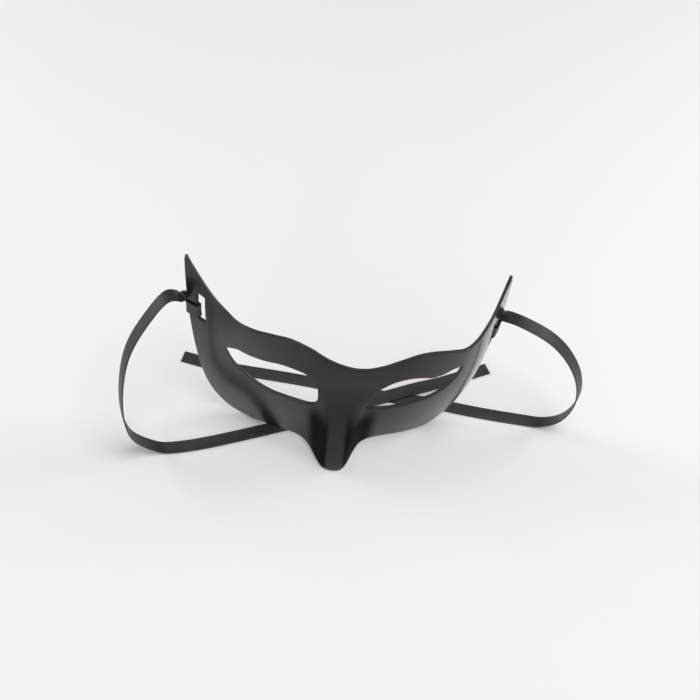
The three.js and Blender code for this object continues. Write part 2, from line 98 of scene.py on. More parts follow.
class Board:
    def __init__(self, name):
        self.material = bpy.data.materials.new(name)
        self.material.use_nodes = True
        self.tree = self.material.node_tree
        self.tree.nodes.clear()

    # settings first, then the values or wires of its sockets
    def node(self, kind, settings=None, inputs=None, output=0):
        made = self.tree.nodes.new(kind)
        for key, value in (settings or {}).items():
            setattr(made, key, value)
        for key, value in (inputs or {}).items():
            if isinstance(value, Wire):
                self.tree.links.new(value.socket, made.inputs[key])
            else:
                made.inputs[key].default_value = value
        return Wire(self, made.outputs[output]) if made.outputs else None

    def place(self):
        return self.node("ShaderNodeTexCoord", {}, {}, "Object")

    # the three numbers of a vector
    def parts(self, vector):
        first = self.node("ShaderNodeSeparateXYZ", {}, {0: vector})
        return [Wire(self, socket) for socket in first.socket.node.outputs]

    def wave(self, value, pitch):
        return self.node("ShaderNodeMath", {"operation": "SINE"}, {0: value * (2 * math.pi / pitch)})

    def mix(self, share, first, second):
        return self.node("ShaderNodeMix", {"data_type": "RGBA"}, {0: share, 6: first, 7: second}, 2)

    def noise(self, place, scale, detail=2.0):
        return self.node("ShaderNodeTexNoise", {}, {"Vector": place, "Scale": scale, "Detail": detail})

    # a soft step from 0 at low to 1 at high
    def between(self, value, low, high):
        return self.node("ShaderNodeMapRange", {"clamp": True, "interpolation_type": "SMOOTHSTEP"}, {
            "Value": value, "From Min": low, "From Max": high, "To Min": 0.0, "To Max": 1.0,
        })

    def finish(self, surface):
        self.node("ShaderNodeOutputMaterial", {}, {"Surface": surface})
        return self.material


# the moulded plastic: sizes of its patterns, and how much each one changes the finish
moulding = {
    "cloud": 38.0,
    "cloudDetail": 3.0,
    "grain": 1500.0,
    "peel": 240.0,
    "patches": (0.35, 0.7),
    "specks": 95.0,
    "speckSize": (0.05, 0.02),
    "speckChance": 0.93,
    "speckTone": (0.30, 0.30, 0.29, 1),
    "speckShare": 0.5,
    "roughCloud": 0.14,
    "roughPeel": 0.1,
    "roughSpeck": 0.3,
    "risePeel": 0.6,
    "riseGrain": 0.25,
    "riseSpeck": 0.6,
    "bump": 0.12,
    "bumpHeight": 0.0002,
    "gloss": 1.42,
    "coatRough": 0.19,
    # the duller, darker copy that paints shade beside and round the nose
    "shadedRough": 0.8,
    "shadedGloss": 1.12,
}
# the coat, with painted light: painted shade round the nose, a painted reflection on the right wing and
# a painted highlight, a pale patch, on the left brow, metres
coatAndPaintedLight = {
    "noseShadeAt": 0.010,
    "noseShadeFrom": 0.014,
    "noseShadeTo": 0.052,
    "noseShadeShare": 0.34,
    "coat": 0.2,
    "wingReflectionCoat": 0.8,
    "wingReflectionFrom": 0.056,
    "wingReflectionTo": 0.066,
    "browHighlightAt": (-0.050, 0.0065, 0.070),
    "browHighlightReach": 0.026,
    "browHighlightTone": (0.060, 0.060, 0.062, 1),
}
# painted shade in the hollows on both sides of the nose, where a duller, darker copy of the plastic is
# mixed in, metres
noseHollowShade = {
    "ridge": 0.0006,
    "start": (0.003, 0.0056),
    "end": 0.018,
    "fade": 0.006,
    "skew": 0.13,
    "spread": 0.05,
    "height": (0.050, 0.028),
    "share": 0.95,
}


def dustSpecks(board, place):
    cells = {"Vector": place, "Scale": moulding["specks"]}
    away = board.node("ShaderNodeTexVoronoi", {"feature": "F1"}, cells, "Distance")
    tint = board.node("ShaderNodeTexVoronoi", {"feature": "F1"}, cells, "Color")
    chance = board.node("ShaderNodeSeparateColor", {}, {0: tint})
    return board.between(away, *moulding["speckSize"]) * (chance > moulding["speckChance"])


# painted shade round the nose: the duller, darker copy is mixed in there
def shadeRoundNose(board, place):
    away = abs(board.parts(place)[0] - coatAndPaintedLight["noseShadeAt"])
    return board.between(away, coatAndPaintedLight["noseShadeTo"], coatAndPaintedLight["noseShadeFrom"]) * coatAndPaintedLight["noseShadeShare"]


# the coat, with a painted reflection: thicker on the right wing, which makes it brighter
def coatWithWingReflection(board, place):
    wing = board.between(board.parts(place)[0], coatAndPaintedLight["wingReflectionFrom"], coatAndPaintedLight["wingReflectionTo"])
    return wing * coatAndPaintedLight["wingReflectionCoat"] + coatAndPaintedLight["coat"]


# painted highlight: a pale patch on the left brow
def browHighlight(board, place):
    ends = {0: place, 1: coatAndPaintedLight["browHighlightAt"]}
    away = board.node("ShaderNodeVectorMath", {"operation": "DISTANCE"}, ends, "Value")
    return board.between(away, coatAndPaintedLight["browHighlightReach"], 0.0)


# painted shade in the hollows beside the nose
def shadeBesideNose(board, place):
    across, _, height = board.parts(place)
    side = across - noseHollowShade["ridge"]
    away = abs(side)
    reach = noseHollowShade["end"] + height * noseHollowShade["spread"] + side * noseHollowShade["skew"]
    band = board.between(away, *noseHollowShade["start"])
    band = band * board.between(away - reach, 0.0, -noseHollowShade["fade"])
    return band * board.between(height, *noseHollowShade["height"]) * noseHollowShade["share"]


# satin black moulded plastic, a little uneven, with a few pale specks of dust, painted shade beside and
# round the nose, a painted highlight on the left brow and a painted reflection on the right wing
def mouldedPlastic(name, main, paler, roughness):
    board = Board(name)
    place = board.place()
    cloud = board.noise(place, moulding["cloud"], moulding["cloudDetail"])
    grain = board.noise(place, moulding["grain"])
    peel = board.noise(place, moulding["peel"])
    specks = dustSpecks(board, place)
    colour = board.mix(board.between(cloud, *moulding["patches"]), (*main, 1), (*paler, 1))
    # a painted highlight on the left brow
    colour = board.mix(browHighlight(board, place), colour, coatAndPaintedLight["browHighlightTone"])
    colour = board.mix(specks * moulding["speckShare"], colour, moulding["speckTone"])
    rough = roughness + (cloud - 0.5) * moulding["roughCloud"] + (peel - 0.5) * moulding["roughPeel"]
    rough = rough + specks * moulding["roughSpeck"]
    height = peel * moulding["risePeel"] + grain * moulding["riseGrain"] + specks * moulding["riseSpeck"]
    bump = board.node("ShaderNodeBump", {}, {
        "Strength": moulding["bump"], "Distance": moulding["bumpHeight"], "Height": height,
    })
    # its coat carries a painted reflection on the right wing
    polished = board.node("ShaderNodeBsdfPrincipled", {}, {
        "Base Color": colour, "Roughness": rough, "Normal": bump, "IOR": moulding["gloss"],
        "Coat Weight": coatWithWingReflection(board, place), "Coat Roughness": moulding["coatRough"],
    })
    # a duller, darker copy of the plastic, for painted shade
    shadedCopy = board.node("ShaderNodeBsdfPrincipled", {}, {
        "Base Color": colour, "Roughness": moulding["shadedRough"], "Normal": bump,
        "IOR": moulding["shadedGloss"],
    })
    # painted shade beside and round the nose
    hollowShade = shadeBesideNose(board, place)
    centre = shadeRoundNose(board, place)
    share = hollowShade + centre - hollowShade * centre
    surface = board.node("ShaderNodeMixShader", {}, {0: share, 1: polished, 2: shadedCopy})
    return board.finish(surface)


# flat woven ribbon: fine ribs across it and a firmer edge, pitches and edge in millimetres
weave = {
    "rib": 0.55,
    "warp": 0.42,
    "selvedge": (0.7, 0.4),
    "cloud": 130.0,
    "cloudDetail": 3.0,
    "fuzz": 2600.0,
    "toneRib": 0.05,
    "toneFuzz": 0.4,
    "toneRange": (0.25, 0.8),
    "dark": (0.007, 0.007, 0.008, 1),
    "light": (0.019, 0.019, 0.021, 1),
    "edgeTone": (0.012, 0.012, 0.014, 1),
    "edgeShare": 0.35,
    "riseRib": 0.4,
    "riseWarp": 0.25,
    "riseEdge": 1.2,
    "riseFuzz": 0.4,
    "bump": 0.35,
    "bumpHeight": 0.00012,
    "rough": 0.5,
    "roughCloud": 0.2,
    "sheen": 0.05,
    "sheenRough": 0.4,
    "gloss": 1.6,
}


def wovenRibbon(name, width):
    board = Board(name)
    across, along, _ = board.parts(board.node("ShaderNodeUVMap", {"uv_map": "ribbonTrack"}))
    ribs = board.wave(along, weave["rib"])
    warp = board.wave(across, weave["warp"])
    place = board.place()
    cloud = board.noise(place, weave["cloud"], weave["cloudDetail"])
    fuzz = board.noise(place, weave["fuzz"])
    edge = board.between(abs(across - width / 2), *[width / 2 - inset for inset in weave["selvedge"]])
    tone = cloud + ribs * weave["toneRib"] + (fuzz - 0.5) * weave["toneFuzz"]
    colour = board.mix(board.between(tone, *weave["toneRange"]), weave["dark"], weave["light"])
    colour = board.mix(edge * weave["edgeShare"], colour, weave["edgeTone"])
    height = ribs * weave["riseRib"] + ribs * warp * weave["riseWarp"]
    height = height + edge * weave["riseEdge"] + fuzz * weave["riseFuzz"]
    bump = board.node("ShaderNodeBump", {}, {
        "Strength": weave["bump"], "Distance": weave["bumpHeight"], "Height": height,
    })
    surface = board.node("ShaderNodeBsdfPrincipled", {}, {
        "Base Color": colour, "Roughness": weave["rough"] + (cloud - 0.5) * weave["roughCloud"],
        "Normal": bump, "Sheen Weight": weave["sheen"], "Sheen Roughness": weave["sheenRough"],
        "IOR": weave["gloss"],
    })
    return board.finish(surface)


# an even finish, its tone a little darker here and there
plain = {"cloud": 6.0, "cloudDetail": 3.0, "darker": 0.99}


def plainSurface(name, colour, roughness):
    board = Board(name)
    cloud = board.noise(board.place(), plain["cloud"], plain["cloudDetail"])
    tone = board.mix(cloud, (*[c * plain["darker"] for c in colour], 1), (*colour, 1))
    surface = board.node("ShaderNodeBsdfPrincipled", {}, {"Base Color": tone, "Roughness": roughness})
    return board.finish(surface)


# the shell: the same face as the model's, millimetres

shell = {
    "wingReach": 94.1,
    "shellHeight": 107.6,
    "wall": 1.6,
    "noseReach": 18.6,
    "bulge": 0.0043,
    "bulgeUp": 23.6,
    "noseLean": 0.061,
    "noseHalf": 9.4,
    "noseAside": 1.6,
    "noseFoot": 45.0,
    "leanUp": 60.0,
    "leanHalf": 28.0,
    "splayFrom": 35.0,
    "splayOver": 45.0,
    "flareUp": 35.0,
    "flareFrom": 15.0,
    "flareOver": 65.0,
    "flareMost": 1.3,
    "sectionStep": 0.5,
    "sectionReach": 130.0,
    "frameStep": 0.2,
    "outlineSteps": 10,
    "rimFrom": 0.7,
    "halvings": 40,
    "footAside": 25.0,
    "tipAside": 20.0,
    "settleTurns": 12,
    "slotWide": 4.8,
    "slotTall": 15.0,
    "slotInset": 8.6,
    "slotLean": 0.2,
    "cutReach": 13.0,
    "cutTouch": 1e-4,
    "merge": 0.002,
    "edgeRound": 0.42,
    "edgeSegments": 3,
    "edgeAngle": 50.0,
    "heading": [(0.0, 0.0), (0.213, 7.8), (0.425, 20.9), (0.638, 27.3), (0.85, 53.7), (1.063, 53.0),
                (1.28, 52.8)],
    # height, reach, left half, right half, how crisp the ridge is
    "nose": [(-0.2, 1.06, 1.21, 0.8, 3.4), (0.0, 1.0, 1.21, 0.8, 3.4), (0.112, 0.83, 1.05, 0.8, 4.0),
             (0.223, 0.6, 0.92, 0.82, 4.6), (0.335, 0.35, 0.88, 0.88, 5.0), (0.4, 0.2, 1.0, 1.0, 4.6),
             (0.446, 0.11, 1.3, 1.3, 4.0), (0.558, 0.0, 1.9, 1.9, 4.0), (1.1, 0.0, 1.9, 1.9, 4.0)],
    "upper": [(-1.0, 1.0), (-0.84, 0.905), (-0.7, 0.845), (-0.61, 0.79), (-0.525, 0.78), (-0.43, 0.797),
              (-0.33, 0.81), (-0.22, 0.785), (-0.12, 0.735), (-0.02, 0.7), (0.07, 0.69), (0.16, 0.708),
              (0.26, 0.757), (0.36, 0.797), (0.45, 0.805), (0.55, 0.787), (0.63, 0.768), (0.7, 0.8),
              (0.76, 0.843), (0.87, 0.895), (1.0, 0.985)],
    "lower": [(-1.0, 1.0), (-0.94, 0.79), (-0.885, 0.6), (-0.84, 0.44), (-0.775, 0.23), (-0.71, 0.105),
              (-0.64, 0.015), (-0.57, -0.025), (-0.5, -0.035), (-0.42, -0.015), (-0.33, 0.005),
              (-0.25, 0.02), (-0.12, 0.01), (0.02, 0.0), (0.06, 0.01), (0.1, 0.035), (0.17, 0.045),
              (0.26, 0.04), (0.35, 0.025), (0.43, 0.0), (0.49, -0.025), (0.54, -0.035), (0.6, -0.025),
              (0.65, 0.01), (0.71, 0.08), (0.77, 0.18), (0.835, 0.355), (0.89, 0.57), (0.945, 0.78),
              (1.0, 0.985)],
    "eyes": {
        -1: {
            "upper": [(-0.67, 0.6), (-0.61, 0.615), (-0.55, 0.605), (-0.49, 0.605), (-0.43, 0.615),
                      (-0.37, 0.63), (-0.3, 0.63), (-0.21, 0.605), (-0.15, 0.525), (-0.135, 0.44)],
            "lower": [(-0.67, 0.6), (-0.62, 0.51), (-0.56, 0.455), (-0.47, 0.405), (-0.4, 0.39),
                      (-0.32, 0.39), (-0.24, 0.385), (-0.18, 0.38), (-0.145, 0.4), (-0.135, 0.44)],
        },
        1: {
            "upper": [(0.115, 0.41), (0.135, 0.47), (0.16, 0.52), (0.2, 0.57), (0.25, 0.61),
                      (0.32, 0.635), (0.39, 0.635), (0.45, 0.62), (0.51, 0.62), (0.56, 0.64),
                      (0.62, 0.64)],
            "lower": [(0.115, 0.41), (0.15, 0.39), (0.23, 0.39), (0.31, 0.405), (0.38, 0.42),
                      (0.45, 0.435), (0.5, 0.46), (0.555, 0.51), (0.59, 0.56), (0.62, 0.64)],
        },
    },
    "tipEnd": 0.996,
    "rows": 18,
    "innerColumns": 26,
    "eyeColumns": 52,
    "wingColumns": 34,
}
wings = {
    -1: {"name": "left", "splay": -19.8, "flare": 0.0, "strapUp": 0.776},
    1: {"name": "right", "splay": 18.3, "flare": 0.173, "strapUp": 0.716},
}


def clamp(value, low=0.0, high=1.0):
    return min(max(value, low), high)


def smooth(value):
    c = clamp(value)
    return c * c * (3 - 2 * c)


def throughPoints(points, steps):
    last = len(points) - 1
    before = [2 * a - b for a, b in zip(points[0], points[1])]
    after = [2 * a - b for a, b in zip(points[last], points[last - 1])]
    chain = [before, *points, after]
    line = []
    for i in range(1, last + 1):
        a, b, c, d = chain[i - 1:i + 3]
        for j in range(steps):
            t = j / steps
            line.append([0.5 * (2 * q + (r - p) * t + (2 * p - 5 * q + 4 * r - s) * t ** 2
                                + (3 * q - p - 3 * r + s) * t ** 3) for p, q, r, s in zip(a, b, c, d)])
    line.append(list(points[last]))
    return line


def readLine(line, x):
    if x <= line[0][0]:
        return line[0][1]
    for (x0, y0), (x1, y1) in zip(line, line[1:]):
        if x <= x1:
            share = (x - x0) / (x1 - x0) if x1 - x0 > 1e-6 else 1
            return y0 + (y1 - y0) * share
    return line[-1][1]


def outline(rows):
    points = [[out * shell["wingReach"], up * shell["shellHeight"]] for out, up in rows]
    line = throughPoints(points, shell["outlineSteps"])
    return lambda a: readLine(line, a)


# a curve through rows that never swings past them
def steadyCurve(rows):
    x, y = [r[0] for r in rows], [r[1] for r in rows]
    step = [b - a for a, b in zip(x, x[1:])]
    rise = [(b - a) / h for a, b, h in zip(y, y[1:], step)]
    slope = [rise[0]]
    for i in range(1, len(x) - 1):
        if rise[i - 1] * rise[i] <= 0:
            slope.append(0)
        else:
            a, b = 2 * step[i] + step[i - 1], step[i] + 2 * step[i - 1]
            slope.append((a + b) / (a / rise[i - 1] + b / rise[i]))
    slope.append(rise[-1])

    def value(q):
        v = clamp(q, x[0], x[-1])
        i = 0
        while i < len(x) - 2 and v > x[i + 1]:
            i += 1
        t = (v - x[i]) / step[i]
        return ((2 * t ** 3 - 3 * t ** 2 + 1) * y[i] + (t ** 3 - 2 * t ** 2 + t) * step[i] * slope[i]
                + (3 * t ** 2 - 2 * t ** 3) * y[i + 1] + (t ** 3 - t ** 2) * step[i] * slope[i + 1])

    return value


topAt = outline(shell["upper"])
bottomAt = outline(shell["lower"])
eyeTopAt = {side: outline(eye["upper"]) for side, eye in shell["eyes"].items()}
eyeBottomAt = {side: outline(eye["lower"]) for side, eye in shell["eyes"].items()}
turnAt = steadyCurve(shell["heading"])
noseAt, noseLeft, noseRight, noseCrisp = [
    steadyCurve([(row[0], row[k]) for row in shell["nose"]]) for k in (1, 2, 3, 4)]


# the plan of one side: place and turn of the face at each step out
def sectionOf(wing):
    step = shell["sectionStep"]
    x = y = last = 0.0
    spots = []
    for k in range(round(shell["sectionReach"] / step) + 1):
        s = k * step
        splay = wing["splay"] * smooth((s - shell["splayFrom"]) / shell["splayOver"])
        turn = math.radians(turnAt(s / shell["wingReach"]) + splay)
        if k:
            x += 0.5 * (math.cos(turn) + math.cos(last)) * step
            y += 0.5 * (math.sin(turn) + math.sin(last)) * step
        spots.append((x, y, turn))
        last = turn
    return spots


for wing in wings.values():
    wing["section"] = sectionOf(wing)


# the face at a signed distance out and a height
def facePoint(a, z):
    side = -1 if a < 0 else 1
    s = abs(a)
    wing = wings[side]
    spots = wing["section"]
    steps = s / shell["sectionStep"]
    i = min(int(steps), len(spots) - 2)
    t = steps - i
    x, y, turn = [p + (q - p) * t for p, q in zip(spots[i], spots[i + 1])]
    up = z / shell["shellHeight"]
    aside = a - shell["noseAside"] * smooth((shell["noseFoot"] - z) / shell["noseFoot"])
    half = shell["noseHalf"] * (noseLeft(up) if aside < 0 else noseRight(up))
    nose = shell["noseReach"] * noseAt(up) / (1 + (abs(aside) / half) ** noseCrisp(up))
    flareShare = clamp((s - shell["flareFrom"]) / shell["flareOver"], 0, shell["flareMost"])
    flare = wing["flare"] * flareShare * (z - shell["flareUp"])
    off = nose + flare - shell["bulge"] * (z - shell["bulgeUp"]) ** 2 / 2
    lean = shell["noseLean"] * (z - shell["leanUp"]) * math.exp(-((s / shell["leanHalf"]) ** 2))
    return Vector((side * (x + math.sin(turn) * off) + lean, y - math.cos(turn) * off, z))


def faceFrame(a, z):
    step = shell["frameStep"]
    out = (facePoint(a + step, z) - facePoint(a - step, z)).normalized()
    up = (facePoint(a, z + step) - facePoint(a, z - step)).normalized()
    return {"at": facePoint(a, z), "out": out, "up": up, "normal": out.cross(up).normalized()}


# inner and outer corner of an eye, distances out
def eyeEnds(side):
    ends = [out * shell["wingReach"] for out, up in shell["eyes"][side]["upper"]]
    return (ends[-1], ends[0]) if side < 0 else (ends[0], ends[-1])


def seamShare(a, side):
    return (eyeBottomAt[side](a) - bottomAt(a)) / (topAt(a) - bottomAt(a))


# the plain face is split along a seam that runs from eye corner to eye corner and out to the tips
def bandsAt(a):
    reach = shell["wingReach"]
    side = -1 if a < 0 else 1
    inner, outer = eyeEnds(side)
    bottom, top = bottomAt(a), topAt(a)
    if abs(a) > abs(outer) - 1e-6:
        share = seamShare(outer, side)
        share += (0.5 - share) * smooth((abs(a) - abs(outer)) / (reach - abs(outer)))
    else:
        left, right = eyeEnds(-1)[0], eyeEnds(1)[0]
        t = (a - left) / (right - left)
        share = seamShare(left, -1) * (1 - t) + seamShare(right, 1) * t
    return bottom, bottom + (top - bottom) * share, top


def eyeBandsAt(a):
    side = -1 if a < 0 else 1
    return bottomAt(a), eyeBottomAt[side](a), eyeTopAt[side](a), topAt(a)


# one patch of the flat plan: x is the distance out, y the height up the face
def planPatch(bm, start, end, columns, low, high, crowd=False):
    made = bmesh.ops.create_grid(bm, x_segments=columns, y_segments=shell["rows"], size=0.5)["verts"]
    left = min(v.co.x for v in made)
    right = max(v.co.x for v in made)
    bottom = min(v.co.y for v in made)
    top = max(v.co.y for v in made)
    for v in made:
        u = (v.co.x - left) / (right - left)
        t = (v.co.y - bottom) / (top - bottom)
        if crowd:
            u = 0.5 - 0.5 * math.cos(math.pi * u)
        a = start + (end - start) * u
        v.co = (a, low(a) + (high(a) - low(a)) * t, 0)


# distance out of the rim at a height, found by halving
def rimOut(side, up):
    low, high = shell["rimFrom"] * shell["wingReach"], shell["wingReach"]
    for _ in range(shell["halvings"]):
        middle = (low + high) / 2
        if bottomAt(side * middle) < up:
            low = middle
        else:
            high = middle
    return (low + high) / 2


def slotPlace(side):
    up = wings[side]["strapUp"] * shell["shellHeight"]
    return rimOut(side, up) - shell["slotInset"], up


# cuts the strap slot out of the flat plan
def cutSlot(bm, side):
    out, up = slotPlace(side)
    centre = Vector((side * out, up, 0))
    half = Vector((shell["slotWide"] / 2, shell["slotTall"] / 2, 0))
    slope = Vector((side * shell["slotLean"], 1, 0)).normalized()
    level = Vector((1, 0, 0))
    cuts = [(centre + level * half.x, Vector((slope.y, -slope.x, 0))),
            (centre - level * half.x, Vector((-slope.y, slope.x, 0))),
            (centre + slope * half.y / slope.y, Vector((0, 1, 0))),
            (centre - slope * half.y / slope.y, Vector((0, -1, 0)))]

    def near():
        return [f for f in bm.faces if (f.calc_center_median() - centre).length < shell["cutReach"]]

    for point, direction in cuts:
        faces = near()
        edges = list({e for f in faces for e in f.edges})
        corners = list({v for f in faces for v in f.verts})
        bmesh.ops.bisect_plane(bm, geom=faces + edges + corners, dist=shell["cutTouch"],
                               plane_co=point, plane_no=direction)
    inside = [f for f in near()
              if all((f.calc_center_median() - p).dot(d) < -shell["cutTouch"] for p, d in cuts)]
    bmesh.ops.delete(bm, geom=inside, context="FACES")


def flatPlan():
    bm = bmesh.new()
    reach = shell["wingReach"]
    end = shell["tipEnd"] * reach
    ends = {side: eyeEnds(side) for side in wings}
    plain = [(ends[-1][0], ends[1][0], shell["innerColumns"]),
             (-end, ends[-1][1], shell["wingColumns"]), (ends[1][1], end, shell["wingColumns"])]
    for start, stop, columns in plain:
        planPatch(bm, start, stop, columns, lambda a: bandsAt(a)[0], lambda a: bandsAt(a)[1])
        planPatch(bm, start, stop, columns, lambda a: bandsAt(a)[1], lambda a: bandsAt(a)[2])
    for inner, outer in ends.values():
        planPatch(bm, min(inner, outer), max(inner, outer), shell["eyeColumns"],
                  lambda a: eyeBandsAt(a)[0], lambda a: eyeBandsAt(a)[1], True)
        planPatch(bm, min(inner, outer), max(inner, outer), shell["eyeColumns"],
                  lambda a: eyeBandsAt(a)[2], lambda a: eyeBandsAt(a)[3], True)
    bmesh.ops.remove_doubles(bm, verts=bm.verts, dist=shell["merge"])
    for side in wings:
        cutSlot(bm, side)
    return bm


# the turn that stands the face on its nose tip and both lower edges
def standOf(points):
    up = Vector((0, 0, 1))
    aside = shell["footAside"]
    zones = [lambda p: p.x < -aside, lambda p: p.x > aside, lambda p: abs(p.x) < shell["tipAside"]]
    feet = []
    for _ in range(shell["settleTurns"]):
        feet = [min((p for p in points if zone(p)), key=lambda p: p.dot(up)) for zone in zones]
        left, right, nose = feet
        up = (right - nose).cross(left - nose).normalized()
        if up.z < 0:
            up.negate()
    x = Vector((1, 0, 0))
    x = (x - up * up.x).normalized()
    turn = Matrix((x, up.cross(x), up)).to_4x4()
    return Matrix.Translation((0, 0, -feet[2].dot(up))) @ turn


def addObject(name, bm, materials):
    mesh = bpy.data.meshes.new(name)
    bm.to_mesh(mesh)
    bm.free()
    for material in materials:
        mesh.materials.append(material)
    for face in mesh.polygons:
        face.use_smooth = True
    made = bpy.data.objects.new(name, mesh)
    bpy.context.scene.collection.objects.link(made)
    return made


def addEdge(piece, name, width, segments):
    edge = piece.modifiers.new(name, "BEVEL")
    edge.width = width * mm
    edge.segments = segments
    edge.limit_method = "ANGLE"
    edge.angle_limit = math.radians(shell["edgeAngle"])
    edge.use_clamp_overlap = False
    return edge


# the wall, its inner side in the second material and its rim in the third
def addWall(piece):
    wall = piece.modifiers.new("wall", "SOLIDIFY")
    wall.thickness = shell["wall"] * mm
    wall.offset = 0
    wall.use_even_offset = True
    wall.use_quality_normals = True
    wall.material_offset = 1
    wall.material_offset_rim = 2
    addEdge(piece, "edge", shell["edgeRound"], shell["edgeSegments"]).loop_slide = True


def makeShell():
    bm = flatPlan()
    half = shell["wall"] / 2
    walls = []
    for v in bm.verts:
        place = faceFrame(v.co.x, v.co.y)
        walls += [place["at"] + place["normal"] * half, place["at"] - place["normal"] * half]
        v.co = place["at"]
    stand = standOf(walls)
    stood = [stand @ p for p in walls]
    lows = [min(p[k] for p in stood) for k in range(3)]
    highs = [max(p[k] for p in stood) for k in range(3)]
    centring = Matrix.Translation((-(lows[0] + highs[0]) / 2, -(lows[1] + highs[1]) / 2, -lows[2]))
    bmesh.ops.transform(bm, matrix=Matrix.Scale(mm, 4) @ centring @ stand, verts=bm.verts)
    piece = addObject("mask_shell_moulded", bm, [shellBlack, shellInside, shellRim])
    addWall(piece)
    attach(piece, "root")
    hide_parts("mask_shell")
    return stand, centring


# a thin wine-red line along the right eye's upper rim
lining = {
    "from": 0.17,
    "to": 0.5,
    "stations": 60,
    "sides": 8,
    "radius": 0.32,
    "drop": 0.15,
    "taper": 8,
    "merge": 0.0005,
    "colour": (0.20, 0.008, 0.025),
    "roughness": 0.5,
}


def makeLiningEdge():
    bm = bmesh.new()
    made = bmesh.ops.create_grid(bm, x_segments=lining["stations"], y_segments=lining["sides"], size=0.5)
    for v in made["verts"]:
        share = v.co.x + 0.5
        turn = (v.co.y + 0.5) * 2 * math.pi
        a = (lining["from"] + (lining["to"] - lining["from"]) * share) * shell["wingReach"]
        face = faceFrame(a, eyeTopAt[1](a) - lining["drop"])
        radius = lining["radius"] * smooth(min(share, 1 - share) * lining["taper"])
        ring = (face["up"] * math.cos(turn) + face["normal"] * math.sin(turn)) * radius
        v.co = face["at"] + face["normal"] * (shell["wall"] / 2 - lining["radius"]) + ring
    bmesh.ops.remove_doubles(bm, verts=bm.verts, dist=lining["merge"])
    bmesh.ops.recalc_face_normals(bm, faces=bm.faces)
    bmesh.ops.transform(bm, matrix=Matrix.Scale(mm, 4) @ whole, verts=bm.verts)
    piece = addObject("right_eye_lining", bm, [liningRed])
    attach(piece, "root")


# the shell's finishes: main tone, tone of its paler patches, roughness
finishes = {
    "shellBlack": ((0.004, 0.0042, 0.0047), (0.0075, 0.0077, 0.0086), 0.3),
    "shellInside": ((0.030, 0.006, 0.010), (0.045, 0.009, 0.014), 0.6),
    "shellRim": ((0.020, 0.018, 0.020), (0.030, 0.027, 0.029), 0.5),
}
shellBlack, shellInside, shellRim = [mouldedPlastic(name, *finish) for name, finish in finishes.items()]
liningRed = plainSurface("liningRed", lining["colour"], lining["roughness"])
stand, centring = makeShell()
whole = centring @ stand
makeLiningEdge()
print("shell formed")


# the ribbons and their knots

ribbon = {
    "width": 7.0,
    "thick": 0.7,
    "lift": 0.02,
    "cup": 0.12,
    "cupLevel": 0.4,
    "edgeRound": 0.22,
    "edgeSegments": 2,
    "knotReach": 3.6,
    "knotStart": 0.4,
    "neckOver": 2.2,
    "wrapGap": 0.3,
    "knotOut": 2.2,
    "knotBack": 0.3,
    "wrapDown": 0.27,
    "wrapRound": 0.9,
    "wrapCornerSteps": 6,
    "barStep": 3.0,
    "knotUp": 0.55,
    "knotSlope": (0.8, 0.6),
    # the knot's turns: place along the rim bar, radius, how flat and how wide
    "slantTurn": {"shift": 0.0, "radius": 2.1, "squeeze": 0.85, "share": 0.42},
    "levelTurn": {"shift": -0.6, "radius": 2.3, "squeeze": 0.9, "share": 0.34},
    "roundTurn": {"shift": 0.4, "radius": 1.7, "squeeze": 1.0, "share": 0.5},
    "turnSteps": 28,
    "merge": 0.002,
    "sink": 0.1,
    "steps": 8,
    "softening": 12,
    "across": 10,
    "spread": 100.0,
}
# each run: its real length in metres, the width share of its neck, the direction across it
# and the places on its way, shares of the spread above the resting surface
ribbonRuns = {
    -1: {
        "length": 0.310,
        "neck": 0.7,
        "across": (-0.38, 0.92, 0),
        "route": [
            (-0.876, 0.165, 0.955), (-0.96, 0.095, 0.868), (-1.045, -0.006, 0.753),
            (-1.08, -0.09, 0.61), (-1.09, -0.153, 0.435), (-1.074, -0.177, 0.279),
            (-1.042, -0.168, 0.165), (-0.968, -0.14, 0.055), (-0.893, -0.123, 0.006),
            (-0.735, -0.085, 0.005), (-0.5, -0.004, 0.005), (-0.3, 0.07, 0.005),
            (-0.063, 0.166, 0.005), (0.03, 0.205, 0.006), (0.155, 0.258, 0.0188),
            (0.28, 0.31, 0.0188), (0.41, 0.365, 0.0188), (0.53, 0.414, 0.006),
            (0.66, 0.471, 0.005), (0.806, 0.536, 0.005),
        ],
    },
    1: {
        "length": 0.316,
        "neck": 0.95,
        "across": (0.42, 0.9, 0),
        "route": [
            (0.8, 0.252, 0.868), (0.866, 0.225, 0.862), (0.965, 0.196, 0.826),
            (1.057, 0.173, 0.747), (1.136, 0.156, 0.626), (1.184, 0.146, 0.499),
            (1.205, 0.145, 0.352), (1.189, 0.157, 0.205), (1.151, 0.177, 0.095),
            (1.085, 0.203, 0.022), (1.01, 0.215, 0.005), (0.745, 0.241, 0.005),
            (0.45, 0.287, 0.005), (0.2, 0.302, 0.005), (-0.1, 0.349, 0.005),
            (-0.4, 0.384, 0.005), (-0.65, 0.408, 0.005), (-0.895, 0.461, 0.005),
        ],
    },
}


